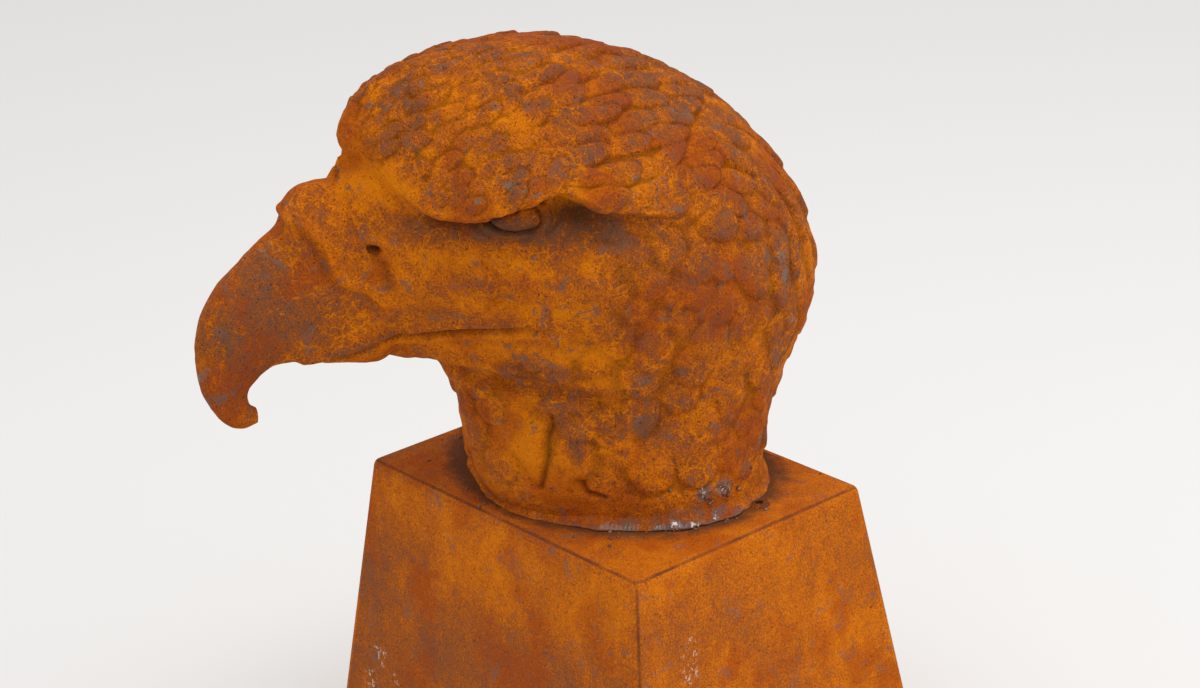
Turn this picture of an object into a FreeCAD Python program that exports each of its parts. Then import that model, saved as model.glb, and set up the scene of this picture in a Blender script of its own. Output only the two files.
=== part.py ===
"""Eagle head in rough cast iron, welded onto a tapered plinth of steel plate.

Lengths are millimetres, +Z is up and the wide front of the plinth faces -Y.
The head is drawn in its own frame (s forward to the beak, w to the bird's left,
h up from the plinth top) and is then turned on the plinth by HEAD_TURN.
"""
import math
import os

import FreeCAD as App
import Part

V = App.Vector

# Plinth of welded plate.
PLINTH_TOP_WIDTH = 250.0
PLINTH_TOP_DEPTH = 180.0
PLINTH_HEIGHT = 240.0
SIDE_FLARE = 0.136              # outward run of a side per unit of drop
PLATE_THICKNESS = 6.0
SEAM_RADIUS = 5.5               # rounding of the dressed welds on every edge
WALL_RUN = PLATE_THICKNESS * math.hypot(1, SIDE_FLARE)     # plate thickness measured level

# Head casting and the weld round its foot.
HEAD_LENGTH = 376.0             # nape to the front of the hook
HEAD_TURN = 22.0                # degrees from the plinth's front towards -X
NECK_OFFSET = (-8.0, 9.0)       # neck centre from the plinth centre
WALL = 9.0                      # thickness of the casting round its hollow
NECK_WELD_LEG = 7.0
WELD_ROOT = 1.0                 # how far the weld bites into the neck
WELD_SHARES = ((0.0, 1.0), (0.5, 0.87), (0.87, 0.5), (1.0, 0.0))    # height, reach of its face

# Stations from the neck's foot to the forehead, lengths as shares of HEAD_LENGTH:
# back s, back h, front s, front h, twist in degrees, place of the brow's lip along the
# section line, overhang of the brow there, share of the half width.
BODY_STATION_SHARES = (
    (-0.207, 0.000, 0.223, 0.000, 22, 0.50, 0.000, 1.00),
    (-0.218, 0.059, 0.242, 0.053, 20, 0.50, 0.000, 1.00),
    (-0.245, 0.117, 0.250, 0.106, 16, 0.51, 0.000, 1.00),
    (-0.282, 0.176, 0.255, 0.154, 11, 0.53, 0.000, 1.00),
    (-0.316, 0.234, 0.261, 0.191, 6, 0.56, 0.000, 1.00),
    (-0.338, 0.303, 0.274, 0.219, 2, 0.60, 0.000, 1.00),
    (-0.335, 0.375, 0.287, 0.237, 0, 0.65, 0.000, 1.00),
    (-0.309, 0.455, 0.299, 0.245, 0, 0.70, 0.000, 1.00),
    (-0.255, 0.537, 0.310, 0.250, 0, 0.73, 0.003, 1.00),
    (-0.181, 0.614, 0.320, 0.254, 0, 0.71, 0.010, 1.00),
    (-0.088, 0.673, 0.330, 0.257, 0, 0.66, 0.022, 1.00),
    (0.016, 0.713, 0.338, 0.258, 0, 0.63, 0.032, 1.00),
    (0.109, 0.734, 0.347, 0.259, 0, 0.57, 0.035, 1.00),
    (0.199, 0.738, 0.356, 0.261, 0, 0.56, 0.030, 1.00),
    (0.287, 0.726, 0.367, 0.262, 0, 0.60, 0.026, 1.00),
    (0.351, 0.702, 0.378, 0.263, 0, 0.68, 0.017, 0.98),
    (0.391, 0.668, 0.388, 0.268, 0, 0.78, 0.004, 0.92),
    (0.410, 0.634, 0.397, 0.292, 0, 0.86, 0.000, 0.78),
    (0.417, 0.602, 0.403, 0.345, 0, 0.88, 0.000, 0.52),
)
RINGS_PER_STATION = 2
SOLID_FRONT_STATIONS = 4        # forehead stations in front of the hollow
# Points of a section, as shares of the part below and of the part above the lip.
BELOW_LIP_SHARES = (0.0, 0.06, 0.20, 0.38, 0.58, 0.76, 0.90)
ABOVE_LIP_SHARES = (0.12, 0.30, 0.52, 0.74, 0.92, 1.0)
LIP_SHARE = 0.008               # half the thickness of the lip's edge
# The brow's lower edge in the side view (s, h), from behind the eye to the cere.
BROW_EDGE_SHARES = (
    (-0.111, 0.455), (-0.049, 0.507), (0.006, 0.514), (0.051, 0.522), (0.085, 0.532),
    (0.110, 0.549), (0.137, 0.564), (0.165, 0.559), (0.195, 0.547), (0.222, 0.537),
    (0.247, 0.526), (0.281, 0.521), (0.312, 0.523), (0.340, 0.543), (0.370, 0.572),
    (0.400, 0.600),
)
LIP_SEARCH_SHARES = (0.35, 0.95)    # where along a section line the edge is looked for
LIP_SEARCH_STEPS = 24
LIP_EASE_SHARE = 0.006          # overhang at which the lip has reached the brow's edge

# Half width of the head: plan outline over s, and its share of that width over h.
PLAN_SHARES = (
    (-0.40, 0.277), (-0.27, 0.282), (-0.13, 0.282), (0.00, 0.274), (0.11, 0.255),
    (0.21, 0.215), (0.29, 0.165), (0.35, 0.122), (0.40, 0.085), (0.45, 0.072),
)
GIRTH_SHARES = (
    (0.00, 1.00), (0.11, 0.97), (0.21, 0.94), (0.29, 0.96), (0.37, 1.00),
    (0.58, 1.00), (0.69, 0.95), (0.80, 0.90),
)
# The jaw narrows over a run forward of its start and a drop below its top, by a share.
JAW_START_SHARE, JAW_RUN_SHARE = 0.16, 0.19
JAW_TOP_SHARE, JAW_DROP_SHARE = 0.40, 0.13
JAW_NARROWING_SHARE = 0.45
BODY_FULLNESS = 0.90            # 1 is an ellipse, less is fuller towards a box
BROW_REACH_SHARE = 0.085        # how far up the crown the brow's swell fades
UNDERCUT_SHARE = 0.45           # hollow under the lip, of its overhang
UNDERCUT_REACH_SHARE = 0.5      # how far down that hollow fades, of the brow's reach
# Swells and hollows of the face: s, h, spread along s, spread along h, height.
FACE_SHARES = (
    (0.190, 0.495, 0.060, 0.034, -0.020),   # eye socket
    (0.115, 0.515, 0.035, 0.028, -0.012),   # pocket behind the eye
    (0.300, 0.450, 0.050, 0.060, -0.014),   # lore
    (0.150, 0.415, 0.080, 0.045, 0.010),    # cheek under the eye
    (0.215, 0.345, 0.060, 0.018, 0.008),    # corner of the mouth
    (0.020, 0.400, 0.090, 0.090, 0.008),    # ear coverts
)

# Beak stations as shares of HEAD_LENGTH: top s, top h, under s, under h, half width.
BEAK_STATION_SHARES = (
    (0.372, 0.530, 0.351, 0.296, 0.056), (0.398, 0.558, 0.374, 0.269, 0.073),
    (0.426, 0.556, 0.399, 0.261, 0.077),
    (0.473, 0.553, 0.439, 0.262, 0.071), (0.501, 0.531, 0.468, 0.265, 0.066),
    (0.515, 0.498, 0.489, 0.269, 0.060), (0.545, 0.476, 0.505, 0.273, 0.055),
    (0.582, 0.448, 0.521, 0.275, 0.051), (0.616, 0.419, 0.535, 0.275, 0.046),
    (0.643, 0.378, 0.548, 0.273, 0.041), (0.660, 0.330, 0.563, 0.265, 0.036),
    (0.663, 0.279, 0.574, 0.255, 0.031), (0.654, 0.231, 0.585, 0.242, 0.026),
    (0.635, 0.197, 0.590, 0.229, 0.021), (0.609, 0.179, 0.588, 0.215, 0.017),
    (0.580, 0.183, 0.578, 0.205, 0.011),
)
BEAK_FULLNESS = 0.80            # 1 is an ellipse
BEAK_RING_POINTS = 18

# Eye, lids and nostril, places as shares of HEAD_LENGTH (s, h).
EYE_SHARE = (0.199, 0.520)
EYE_RADIUS = 13.0
EYE_SINK = 12.5                 # eye centre inside the plain side of the head
LID_LENGTH = 16.0
LID_HEIGHT = 10.5
LID_RADIUS = 2.4
LID_SINK = 4.0
LID_POINT_SHARES = (-1.0, -0.8, -0.4, 0.0, 0.4, 0.8, 1.0)
NOSTRIL_SHARE = (0.391, 0.466)
NOSTRIL_RADIUS = 3.2
NOSTRIL_DEPTH = 10.0
# Grooves on each side, as shares of HEAD_LENGTH (s, w, h).
MOUTH_SHARES = (
    (0.478, 0.028, 0.272), (0.445, 0.040, 0.279), (0.415, 0.050, 0.289), (0.388, 0.057, 0.300),
    (0.350, 0.066, 0.311), (0.300, 0.088, 0.316), (0.246, 0.137, 0.328), (0.190, 0.192, 0.340),
)
CERE_SHARES = (
    (0.515, 0.000, 0.504), (0.493, 0.050, 0.503), (0.475, 0.061, 0.484), (0.465, 0.067, 0.459),
    (0.457, 0.070, 0.425), (0.440, 0.073, 0.408), (0.410, 0.077, 0.397), (0.385, 0.080, 0.383),
)
MOUTH_GROOVE_RADIUS = 2.2
CERE_GROOVE_RADIUS = 1.2


def between(table, x):
    """Value of a two-column table at x, straight between its rows."""
    for (x0, y0), (x1, y1) in zip(table, table[1:]):
        if x <= x1:
            return y0 + (y1 - y0) * max(x - x0, 0.0) / (x1 - x0)
    return table[-1][1]


def smooth_rows(rows, steps):
    """Rows of a table with steps - 1 more between neighbours, on a curve through them."""
    first = [2 * a - b for a, b in zip(rows[0], rows[1])]
    last = [2 * a - b for a, b in zip(rows[-1], rows[-2])]
    ends = [first] + list(rows) + [last]
    out = []
    for p0, p1, p2, p3 in zip(ends, ends[1:], ends[2:], ends[3:]):
        for k in range(steps):
            t = k / steps
            out.append([(2 * b + (c - a) * t + (2 * a - 5 * b + 4 * c - d) * t ** 2
                         + (3 * b - a - 3 * c + d) * t ** 3) / 2
                        for a, b, c, d in zip(p0, p1, p2, p3)])
    return out + [list(rows[-1])]


def plain_half_width(s, h):
    """Half width of the head over its side view, in shares; the jaw narrows forward."""
    wide = between(PLAN_SHARES, s) * between(GIRTH_SHARES, h)
    forward = min(max((s - JAW_START_SHARE) / JAW_RUN_SHARE, 0.0), 1.0)
    low = min(max((JAW_TOP_SHARE - h) / JAW_DROP_SHARE, 0.0), 1.0)
    return wide * (1.0 - JAW_NARROWING_SHARE * forward * low)


def face_relief(s, h, over_lip, overhang):
    """Swell of the brow, hollow under it and the swells and hollows of the face."""
    if over_lip > 0:
        faded = max(over_lip - 2 * LIP_SHARE, 0.0) / BROW_REACH_SHARE
        relief = overhang * math.exp(-faded ** 2)
    else:
        faded = over_lip / (BROW_REACH_SHARE * UNDERCUT_REACH_SHARE)
        relief = -UNDERCUT_SHARE * overhang * math.exp(-faded ** 2)
    for s0, h0, along, high, rise in FACE_SHARES:
        if over_lip < 0 or rise > 0:
            relief += rise * math.exp(-((s - s0) / along) ** 2 - ((h - h0) / high) ** 2)
    return relief


def head_point(s, w, h, twist=0.0):
    """Point of the head's frame in the part's frame, its section twisted about the neck."""
    a, t = math.radians(twist), math.radians(HEAD_TURN)
    s, w = s * math.cos(a) - w * math.sin(a), s * math.sin(a) + w * math.cos(a)
    return V(NECK_OFFSET[0] - s * math.sin(t) + w * math.cos(t),
             NECK_OFFSET[1] - s * math.cos(t) - w * math.sin(t), h)


def ring(points):
    """Closed smooth wire through points."""
    curve = Part.BSplineCurve()
    curve.interpolate(points + points[:1])
    return Part.Wire(curve.toShape())


def lip_place(row):
    """Place of the brow's lip on a section line: where the line crosses the brow's edge,
    eased to the station's own place where there is hardly any brow."""
    ts, th, bs, bh, _, lip, overhang, _ = row
    low, high = LIP_SEARCH_SHARES
    for _ in range(LIP_SEARCH_STEPS):
        middle = (low + high) / 2
        s, h = bs + (ts - bs) * middle, bh + (th - bh) * middle
        if h > between(BROW_EDGE_SHARES, s):
            high = middle
        else:
            low = middle
    ease = min(max(overhang / LIP_EASE_SHARE, 0.0), 1.0)
    return lip + (low - lip) * ease ** 2 * (3 - 2 * ease)


def body_ring(row, inset=0.0, with_relief=True):
    """One section of the neck or skull, drawn in by inset; the inside skips the swells."""
    ts, th, bs, bh, twist, _, overhang, share = row
    lip = lip_place(row)
    line = math.hypot(ts - bs, th - bh)
    edge = LIP_SHARE / line
    levels = [(lip - edge) * x for x in BELOW_LIP_SHARES] + [lip - edge, lip + edge]
    levels += [lip + edge + (1 - lip - edge) * x for x in ABOVE_LIP_SHARES]
    cut = inset / HEAD_LENGTH
    up = []
    for z in levels:
        s, h = bs + (ts - bs) * z, bh + (th - bh) * z
        relief = face_relief(s, h, (z - lip) * line, overhang)
        width = plain_half_width(s, h) * share + (relief if with_relief else min(relief, 0.0)) - cut
        side = (2 * math.sqrt(max(z * (1 - z), 0.0))) ** BODY_FULLNESS
        pull = cut * (1 - 2 * z) / line
        up.append((s + (ts - bs) * pull, max(width, cut) * side, h + (th - bh) * pull))
    around = up + [(s, -w, h) for s, w, h in reversed(up[1:-1])]
    return ring([head_point(*(HEAD_LENGTH * x for x in p), twist) for p in around])


def beak_ring(row):
    """One section of the beak."""
    ts, th, bs, bh, half = row
    points = []
    for k in range(BEAK_RING_POINTS):
        a = 2 * math.pi * k / BEAK_RING_POINTS
        z = (1 - math.cos(a)) / 2
        side = half * math.copysign(abs(math.sin(a)) ** BEAK_FULLNESS, math.sin(a))
        points.append(head_point(*(HEAD_LENGTH * x for x in
                                   (bs + (ts - bs) * z, side, bh + (th - bh) * z))))
    return ring(points)


def skull():
    """Neck, skull and face as one smooth skin over the section rings."""
    return Part.makeLoft([body_ring(row) for row in
                          smooth_rows(BODY_STATION_SHARES, RINGS_PER_STATION)], True)


def hollow():
    """Inside of the neck and skull, open through the neck."""
    rings = [body_ring(row, WALL, False)
             for row in BODY_STATION_SHARES[:-SOLID_FRONT_STATIONS]]
    below = rings[0].copy()
    below.translate(V(0, 0, -WALL))
    return Part.makeLoft([below] + rings, True)


def beak():
    """Cere, horn and hook."""
    return Part.makeLoft([beak_ring(row) for row in BEAK_STATION_SHARES], True)


def tube(points, radius):
    """Round bar along a smooth line through points."""
    curve = Part.BSplineCurve()
    curve.interpolate(points)
    start = Part.makeCircle(radius, curve.value(0), curve.tangent(0)[0])
    return Part.Wire(curve.toShape()).makePipeShell([Part.Wire(start)], True, True)


def eye(side):
    """Eyeball with its ring of lids; side is 1 for the left and -1 for the right."""
    s, h = (HEAD_LENGTH * x for x in EYE_SHARE)
    w = HEAD_LENGTH * plain_half_width(*EYE_SHARE)
    ball = Part.makeSphere(EYE_RADIUS, head_point(s, side * (w - EYE_SINK), h))
    lids = []
    for rise in (LID_HEIGHT, -LID_HEIGHT):
        line = []
        for x in LID_POINT_SHARES:
            ds, dh = LID_LENGTH * x, rise * math.sqrt(1 - x ** 2)
            around = plain_half_width((s + ds) / HEAD_LENGTH, (h + dh) / HEAD_LENGTH)
            line.append(head_point(s + ds, side * (HEAD_LENGTH * around - LID_SINK), h + dh))
        lids.append(tube(line, LID_RADIUS))
    return [ball] + lids


def groove(shares, radius, side):
    """Groove cutter along a line given in shares of the head."""
    points = [head_point(*(HEAD_LENGTH * x for x in (s, side * w, h))) for s, w, h in shares]
    return tube(points, radius)


def nostril(side):
    """Nostril cutter, a blind hole into the cere."""
    s, h = (HEAD_LENGTH * x for x in NOSTRIL_SHARE)
    w = HEAD_LENGTH * plain_half_width(*NOSTRIL_SHARE)
    deep = head_point(s, side * (w - NOSTRIL_DEPTH), h)
    return Part.makeCylinder(NOSTRIL_RADIUS, 2 * NOSTRIL_DEPTH, deep,
                             head_point(s, side * w, h) - deep)


def foot_ring(inset, rise):
    """Outline of the neck's foot, drawn in by inset and raised."""
    outline = body_ring(BODY_STATION_SHARES[0], inset, False)
    outline.translate(V(0, 0, rise))
    return outline


def neck_weld():
    """Fillet weld round the neck's foot."""
    bead = Part.makeLoft([foot_ring(WELD_ROOT - (NECK_WELD_LEG + WELD_ROOT) * reach,
                                    NECK_WELD_LEG * rise) for rise, reach in WELD_SHARES], True)
    foot = Part.Face(foot_ring(WELD_ROOT, -NECK_WELD_LEG)).extrude(V(0, 0, 3 * NECK_WELD_LEG))
    return bead.cut(foot)


def head_casting(weld):
    """The whole head: one hollow iron casting, cut flat where it stands on the plinth."""
    form = skull().fuse([beak()] + eye(1) + eye(-1))
    cutters = [hollow(), weld]
    for side in (1, -1):
        cutters += [nostril(side), groove(MOUTH_SHARES, MOUTH_GROOVE_RADIUS, side),
                    groove(CERE_SHARES, CERE_GROOVE_RADIUS, side)]
    for cutter in cutters:
        form = form.cut(cutter)
    return form


def half_sizes(drop):
    """Half width and half depth of the plinth's outside at a drop below its top."""
    return (PLINTH_TOP_WIDTH / 2 + SIDE_FLARE * drop, PLINTH_TOP_DEPTH / 2 + SIDE_FLARE * drop)


def corners(drop, inset_x, inset_y):
    """Four corners of a level rectangle inside the plinth's outline."""
    x, y = half_sizes(drop)
    x, y = x - inset_x, y - inset_y
    return [V(-x, -y, -drop), V(x, -y, -drop), V(x, y, -drop), V(-x, y, -drop)]


def block(upper, lower):
    """Six-sided solid between two four-sided outlines."""
    quads = [upper, lower] + [[upper[k - 1], upper[k], lower[k], lower[k - 1]] for k in range(4)]
    shell = Part.makeShell([Part.Face(Part.makePolygon(q + q[:1])) for q in quads])
    return Part.makeSolid(shell)


def top_plate():
    """Flat top, its edges bevelled for the seam weld."""
    return block(corners(0, SEAM_RADIUS, SEAM_RADIUS),
                 corners(PLATE_THICKNESS, WALL_RUN, WALL_RUN))


def side_plate(k):
    """Side k of four, counted from the front towards +X; bevelled along both corners."""
    inset = (SEAM_RADIUS, 0) if k % 2 == 0 else (0, SEAM_RADIUS)
    quads = []
    for outer, inner in ((SEAM_RADIUS, PLATE_THICKNESS), (PLINTH_HEIGHT, PLINTH_HEIGHT)):
        face, back = corners(outer, *inset), corners(inner, WALL_RUN, WALL_RUN)
        quads.append([face[k], face[(k + 1) % 4], back[(k + 1) % 4], back[k]])
    return block(*quads)


def seam_welds(plates):
    """Weld metal between the plates: the four corner seams and the ring under the top edge."""
    outside = block(corners(0, 0, 0), corners(PLINTH_HEIGHT, 0, 0))
    rim = [e for e in outside.Edges if e.BoundBox.ZMax > -PLINTH_HEIGHT / 2]
    outside = outside.makeFillet(SEAM_RADIUS, rim)
    inside = block(corners(PLATE_THICKNESS, WALL_RUN, WALL_RUN),
                   corners(PLINTH_HEIGHT, WALL_RUN, WALL_RUN))
    metal = outside.cut([inside] + plates)
    x, y = half_sizes(PLINTH_HEIGHT)
    upper = Part.makeBox(2 * x, 2 * y, PLATE_THICKNESS, V(-x, -y, -PLATE_THICKNESS))
    return metal.common(upper), metal.cut(upper)


def main():
    """Build every piece, stand the part on its origin and write one file per piece."""
    plates = [side_plate(k) for k in range(4)]
    weld = neck_weld()
    pieces = {"head_casting": head_casting(weld), "neck_weld": weld,
              "plinth_top_plate": top_plate()}
    for side, plate in zip(("front", "right", "back", "left"), plates):
        pieces["plinth_%s_plate" % side] = plate
    ring_weld, corner_welds = seam_welds(plates + [pieces["plinth_top_plate"]])
    pieces["plinth_top_weld"], pieces["plinth_corner_welds"] = ring_weld, corner_welds
    bounds = App.BoundBox()
    for shape in pieces.values():
        bounds.add(shape.optimalBoundingBox(False, False))
    os.makedirs("parts", exist_ok=True)
    for name, shape in pieces.items():
        shape.translate(V(-bounds.Center.x, -bounds.Center.y, -bounds.ZMin))
        shape.exportStep("parts/%s.step" % name)


main()
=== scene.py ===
import math

import bpy
import numpy as np
from mathutils import Matrix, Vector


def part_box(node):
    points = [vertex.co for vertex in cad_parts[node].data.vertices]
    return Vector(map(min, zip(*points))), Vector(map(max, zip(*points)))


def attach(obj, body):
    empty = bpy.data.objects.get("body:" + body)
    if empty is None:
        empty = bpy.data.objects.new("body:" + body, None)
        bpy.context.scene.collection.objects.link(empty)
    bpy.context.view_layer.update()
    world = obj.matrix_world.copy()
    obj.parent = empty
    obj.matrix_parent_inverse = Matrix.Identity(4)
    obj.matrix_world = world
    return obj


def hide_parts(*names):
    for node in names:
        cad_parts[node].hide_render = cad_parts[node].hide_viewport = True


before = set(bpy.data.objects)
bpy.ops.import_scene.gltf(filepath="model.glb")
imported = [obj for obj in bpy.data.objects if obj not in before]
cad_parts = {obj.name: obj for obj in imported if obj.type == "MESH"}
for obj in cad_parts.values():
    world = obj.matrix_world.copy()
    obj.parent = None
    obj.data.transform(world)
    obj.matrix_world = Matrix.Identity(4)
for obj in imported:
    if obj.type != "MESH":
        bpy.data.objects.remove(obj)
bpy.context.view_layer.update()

# Plinth plates: five pieces of 6 mm mild steel plate, cut with sloping sides and left to
# rust out of doors. They keep their CAD shapes and get the rust that every piece shares.

top_low, top_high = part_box("plinth_top_plate")
PLINTH_MIDDLE = np.array([0.0, (top_low[1] + top_high[1]) / 2])
PLINTH_TOP = top_high[2]
# Middle of the neck's foot, round which the top plate is darker.
NECK_MIDDLE = np.array([PLINTH_MIDDLE[0] - 0.008, PLINTH_MIDDLE[1] + 0.009, PLINTH_TOP])


def paint(red, green, blue):
    """Colour from its 0 to 255 screen values, as the shaders count light."""
    channel = np.array([red, green, blue]) / 255.0
    return (*np.where(channel < 0.04045, channel / 12.92, ((channel + 0.055) / 1.055) ** 2.4), 1.0)


BLOOM = paint(216, 120, 8)              # fresh rust in hollows and where water runs
ORANGE = paint(200, 106, 14)
TAN = paint(172, 88, 22)
BROWN = paint(148, 79, 36)
CRUST = paint(120, 78, 56)              # old rust, brown, on whatever stands up
MAUVE = paint(128, 90, 72)              # mill scale that the rust has not lifted yet
RED = paint(158, 64, 14)
BARE = paint(118, 100, 84)              # metal showing through
SHADE = paint(52, 27, 12)               # painted shade and dirt in the deepest cuts and hollows
# Lumps of noise in the rust, in metres, from wide to fine.
RED_SIZE, WORN_SIZE, VEINED_SIZE, SCALE_SIZE = 0.045, 0.021, 0.02, 0.013
MOTTLE_SIZE, PIT_SIZE, GRAIN_SIZE, SPECK_SIZE = 0.0065, 0.0017, 0.0011, 0.0008
VEIN_CELLS, VEIN_SHIFT = 105.0, 0.007   # cells in a metre, and how far their edges wander


def put(tree, kind, inputs=(), **settings):
    """Add a shader node; inputs pairs each socket with a value or with a socket to link."""
    new = tree.nodes.new("ShaderNode" + kind)
    for name, value in settings.items():
        setattr(new, name, value)
    for name, value in dict(inputs).items():
        if isinstance(value, bpy.types.NodeSocket):
            tree.links.new(value, new.inputs[name])
        else:
            new.inputs[name].default_value = value
    return new


def maths(tree, operation, *values):
    """Result of one sum on numbers or sockets."""
    return put(tree, "Math", dict(enumerate(values)), operation=operation).outputs[0]


def times(tree, first, second):
    """Product of two numbers or sockets."""
    return maths(tree, "MULTIPLY", first, second)


def add_times(tree, first, second, base):
    """base plus the product of two numbers or sockets."""
    return maths(tree, "MULTIPLY_ADD", first, second, base)


def rise(tree, value, low, high):
    """0 below low and 1 above high, smooth between; low may be the larger."""
    return put(tree, "MapRange", {"Value": value, "From Min": low, "From Max": high},
               interpolation_type="SMOOTHSTEP").outputs[0]


def cloud(tree, place, size, detail=3.0, rough=0.55, warp=0.0):
    """Noise about 0.5, with lumps of a size in metres."""
    return put(tree, "TexNoise",
               {"Vector": place, "Scale": 1.0 / size, "Detail": detail, "Roughness": rough,
                "Distortion": warp}).outputs[0]


def swing(tree, value, gain, base):
    """base plus gain times a noise's distance from its middle."""
    return add_times(tree, maths(tree, "SUBTRACT", value, 0.5), gain, base)


def mix(tree, share, first, second):
    """first turning into second as share goes from 0 to 1."""
    return put(tree, "Mix", {0: share, 6: first, 7: second}, data_type="RGBA").outputs[2]


def new_group(name, inputs, outputs):
    """Empty node group with named sockets; inputs map a name to its type and value."""
    group = bpy.data.node_groups.new(name, "ShaderNodeTree")
    for label, (kind, value) in inputs.items():
        made = group.interface.new_socket(name=label, in_out="INPUT", socket_type="NodeSocket" + kind)
        if value is not None:
            made.default_value = value
    for label, kind in outputs.items():
        group.interface.new_socket(name=label, in_out="OUTPUT", socket_type="NodeSocket" + kind)
    return group, group.nodes.new("NodeGroupInput").outputs, group.nodes.new("NodeGroupOutput").inputs


def build_rust():
    """Rust: patches, mottle and grain push a crust value up or down, raised places carry
    more of it, and a colour ramp turns it from orange bloom to brown crust. Thin veins of
    bloom run through it, wide patches are redder, mill scale and grey metal show in spots,
    pits are dark, and Cut darkens it with painted shade in cuts and hollows, or with a given dark colour."""
    group, given, made = new_group(
        "rust", {"Vector": ("Vector", None), "Crust": ("Float", 0.5), "Raised": ("Float", 0.5),
                 "Bare": ("Float", 0.0), "Cut": ("Float", 0.0), "Coarse": ("Float", 1.0),
                 "Patches": ("Float", 34.0), "Scale Spots": ("Float", 0.6),
                 "Veins": ("Float", 0.4), "Mottle": ("Float", 1.7), "Grain": ("Float", 1.2)},
        {"Color": "Color", "Roughness": "Float", "Shine": "Float", "Height": "Float"})
    place = given["Vector"]
    patch = put(group, "TexNoise",
                {"Vector": place, "Scale": given["Patches"], "Detail": 5.0, "Roughness": 0.6,
                 "Distortion": 0.8}).outputs[0]
    mottle = cloud(group, place, MOTTLE_SIZE, 4.0, 0.66, 0.4)
    grain = cloud(group, place, GRAIN_SIZE, 2.0, 0.7)
    crust = given["Crust"]
    for noise, gain in ((patch, given["Coarse"]), (mottle, given["Mottle"]), (grain, given["Grain"]),
                        (given["Raised"], 0.7)):
        crust = swing(group, noise, gain, crust)
    shift = put(group, "TexNoise", {"Vector": place, "Scale": 220.0, "Detail": 2.0}).outputs["Color"]
    bent = put(group, "VectorMath", {0: shift, 1: (VEIN_SHIFT,) * 3, 2: place},
               operation="MULTIPLY_ADD").outputs[0]
    cells = put(group, "TexVoronoi", {"Vector": bent, "Scale": VEIN_CELLS},
                feature="DISTANCE_TO_EDGE").outputs["Distance"]
    vein = times(group, rise(group, cells, 0.085, 0.0),
                 rise(group, cloud(group, place, VEINED_SIZE, 2.0), 0.4, 0.62))
    vein = times(group, vein, given["Veins"])
    crust = maths(group, "SUBTRACT", crust, vein)
    ramp = put(group, "ValToRGB", {0: crust})
    stops = ((0.0, BLOOM), (0.3, ORANGE), (0.55, TAN), (0.8, BROWN), (1.0, CRUST))
    for _ in stops[2:]:
        ramp.color_ramp.elements.new(0.5)
    for stop, (at, colour) in zip(ramp.color_ramp.elements, stops):
        stop.position, stop.color = at, colour
    reddish = rise(group, cloud(group, place, RED_SIZE, 3.0), 0.48, 0.64)
    colour = mix(group, times(group, reddish, 0.5), ramp.outputs[0], RED)
    speck = swing(group, cloud(group, place, SPECK_SIZE, 2.0), 0.75, 1.0)
    colour = put(group, "VectorMath", {0: colour, "Scale": speck}, operation="SCALE").outputs[0]
    spots = rise(group, cloud(group, place, SCALE_SIZE, 5.0, 0.7, 0.6), 0.58, 0.65)
    colour = mix(group, times(group, spots, given["Scale Spots"]), colour, MAUVE)
    worn = cloud(group, place, WORN_SIZE, 6.0, 0.72, 0.8)
    worn = add_times(group, given["Raised"], 0.06, worn)
    bare = rise(group, add_times(group, given["Bare"], 0.06, worn), 0.7, 0.76)
    bare = times(group, bare, 0.75)
    colour = mix(group, bare, colour, BARE)
    pit = rise(group, cloud(group, place, PIT_SIZE, 1.0), 0.68, 0.75)
    # Cut: painted shade in cuts and hollows, or a given dark colour such as slag
    cut = times(group, given["Cut"], 0.85)
    cut = maths(group, "MAXIMUM", cut, times(group, pit, 0.45))
    colour = mix(group, cut, colour, SHADE)
    group.links.new(colour, made["Color"])
    rough = swing(group, grain, 0.4, 0.8)
    group.links.new(add_times(group, bare, -0.35, rough), made["Roughness"])
    group.links.new(add_times(group, bare, 0.25, 0.06), made["Shine"])
    height = add_times(group, mottle, 1.6, times(group, grain, 0.9))
    height = add_times(group, pit, -0.6, height)
    group.links.new(add_times(group, vein, -0.5, height), made["Height"])
    return group


rust = build_rust()


def build_runs():
    """Runs: upright streaks, from noise drawn out downwards."""
    group, given, made = new_group("runs", {"Vector": ("Vector", None)}, {"Mask": "Float"})
    drawn = put(group, "Mapping", {"Vector": given["Vector"], "Scale": (1, 1, 0.1)})
    runs = cloud(group, drawn.outputs[0], 0.03, 3.0, 0.6, 0.2)
    group.links.new(rise(group, runs, 0.5, 0.72), made["Mask"])
    return group


runs = build_runs()


def new_material(name):
    """Material with nodes, and its node tree."""
    material = bpy.data.materials.new(name)
    material.use_nodes = True
    return material, material.node_tree


def coat(tree, skin, distance, height):
    """Lead the rust group's results to the surface, with a bump of a height in metres."""
    surface = tree.nodes["Principled BSDF"]
    for label, result in (("Base Color", "Color"), ("Roughness", "Roughness"),
                          ("Specular IOR Level", "Shine")):
        tree.links.new(skin.outputs[result], surface.inputs[label])
    relief = put(tree, "Bump", {"Distance": distance, "Height": height})
    tree.links.new(relief.outputs[0], surface.inputs["Normal"])


SEAM = paint(96, 52, 34)
FOOT_DARK = paint(84, 56, 36)
LIME = paint(205, 190, 172)
# Where lime has splashed on the side plates: x, y, z and reach.
LIME_SPOTS = (
    (-0.1093, -0.0635, 0.1131, 0.01), (-0.1169, -0.0662, 0.0932, 0.011),
    (-0.0929, -0.065, 0.102, 0.006), (0.1324, -0.0147, 0.1853, 0.009),
    (0.134, -0.016, 0.174, 0.009), (0.1313, -0.0117, 0.1935, 0.006))
FOOT_DARK_SHAPE = (1 / 0.103, 1 / 0.081, 0.0)     # over the half lengths of the neck's foot
LOWER_FROM, LOWER_TO = PLINTH_TOP - 0.02, PLINTH_TOP - 0.1


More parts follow.
